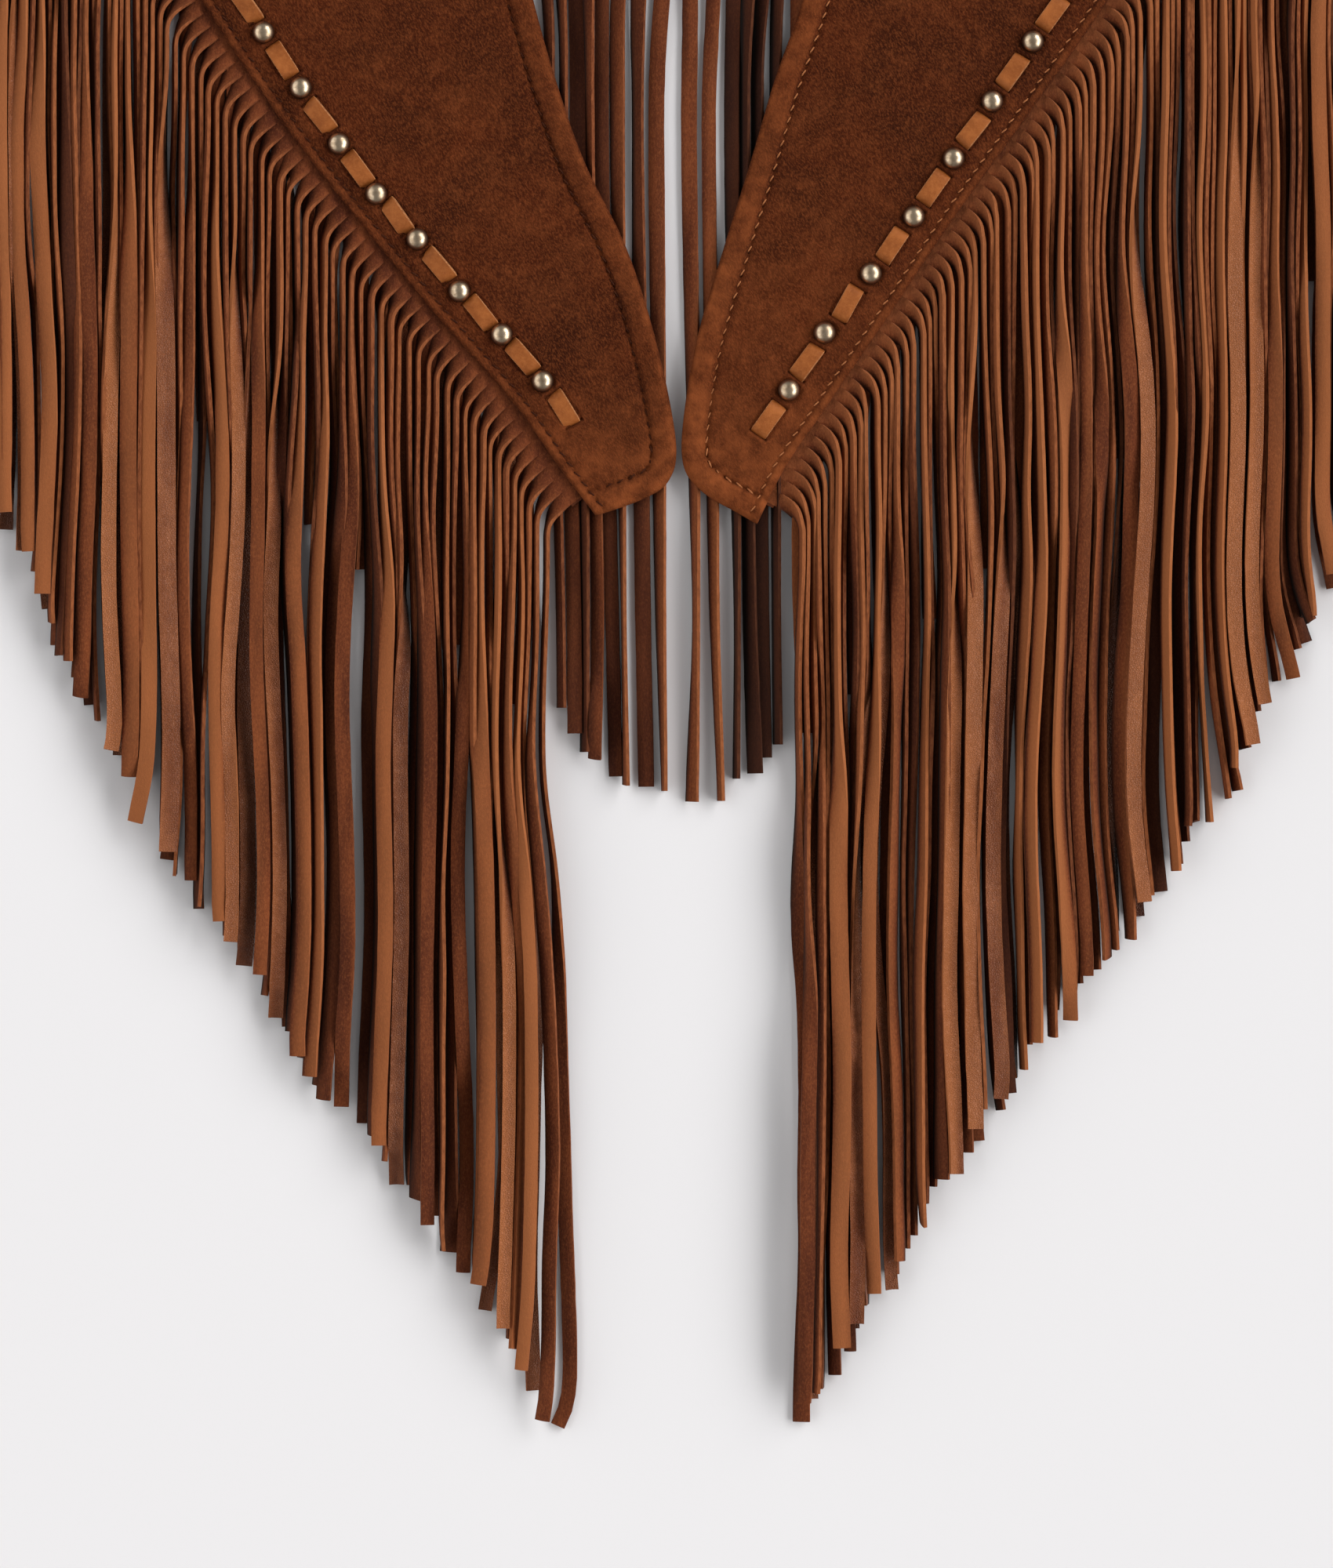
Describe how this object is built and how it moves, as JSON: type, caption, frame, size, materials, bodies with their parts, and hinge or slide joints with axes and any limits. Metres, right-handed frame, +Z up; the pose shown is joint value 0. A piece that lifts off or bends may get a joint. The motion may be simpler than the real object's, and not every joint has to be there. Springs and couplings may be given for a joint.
{
  "type": "beaded fringe cape",
  "caption": "Open-fronted suede cape laid flat, with long fringe on every hem and a row of domed studs and leather lacing inside each front hem.",
  "frame": {"origin": "middle of the garment's outline on the surface it lies on", "axes": "+X to the right across the garment as the picture sees it, +Y towards the shoulders, +Z up from the surface"},
  "size_m": [0.514, 0.73, 0.0097],
  "materials": {
    "suede": "napped suede, matte",
    "fringe": "suede and pebbled grain side, matte to soft sheen",
    "lace": "smooth tan leather, satin",
    "studs": "aged nickel, polished"
  },
  "bodies": {
    "root": {"back": "suede", "fringe_back": "fringe", "front_left": "suede", "fringe_left": "fringe", "lace_left": "lace", "stud_left_01": "studs", "stud_left_02": "studs", "stud_left_03": "studs", "stud_left_04": "studs", "stud_left_05": "studs", "stud_left_06": "studs", "stud_left_07": "studs", "stud_left_08": "studs", "stud_left_09": "studs", "stud_left_10": "studs", "stud_left_11": "studs", "stud_left_12": "studs", "stud_left_13": "studs", "stud_left_14": "studs", "stud_left_15": "studs", "stud_left_16": "studs", "stud_left_17": "studs", "stud_left_18": "studs", "stud_left_19": "studs", "front_right": "suede", "fringe_right": "fringe", "lace_right": "lace", "stud_right_01": "studs", "stud_right_02": "studs", "stud_right_03": "studs", "stud_right_04": "studs", "stud_right_05": "studs", "stud_right_06": "studs", "stud_right_07": "studs", "stud_right_08": "studs", "stud_right_09": "studs", "stud_right_10": "studs", "stud_right_11": "studs", "stud_right_12": "studs", "stud_right_13": "studs", "stud_right_14": "studs", "stud_right_15": "studs", "stud_right_16": "studs", "stud_right_17": "studs", "stud_right_18": "studs"}
  },
  "joints": []
}
